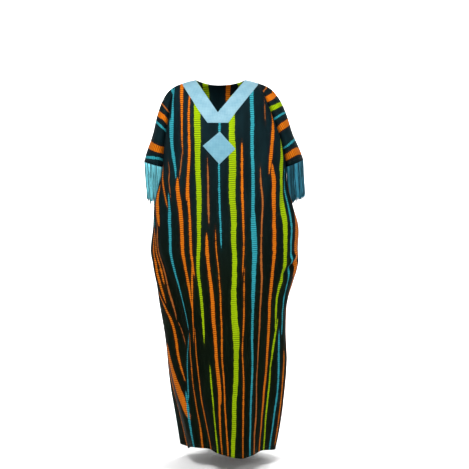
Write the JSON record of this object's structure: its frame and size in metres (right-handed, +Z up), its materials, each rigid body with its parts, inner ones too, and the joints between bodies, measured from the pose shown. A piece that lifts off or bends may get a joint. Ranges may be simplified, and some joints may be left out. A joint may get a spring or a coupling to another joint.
{
  "type": "kaftan",
  "caption": "Floor-length pull-on kaftan in its worn form: V neck band, diamond-set patch, short wide sleeves with fringed cuffs, and wavy lengthwise stripes.",
  "frame": {"origin": "at the neck, midway between the neck ends of the two shoulder seams", "axes": "+Z up, the front faces -Y, +X to the right of someone looking at the front"},
  "size_m": [0.607, 0.3815, 1.4066],
  "materials": {
    "striped_cloth": "matt plain-weave cotton, black with irregular wavy stripes in lime, orange, turquoise and tan",
    "pale_cloth": "pale blue cotton damask with a faint sheen",
    "fringe_yarn": "blue-green yarn, soft sheen"
  },
  "bodies": {
    "root": {"front_panel": "striped_cloth", "back_panel": "striped_cloth", "neck_band_front": "pale_cloth", "neck_band_back": "pale_cloth", "patch": "pale_cloth", "fringe_left": "fringe_yarn", "fringe_right": "fringe_yarn"}
  },
  "joints": []
}
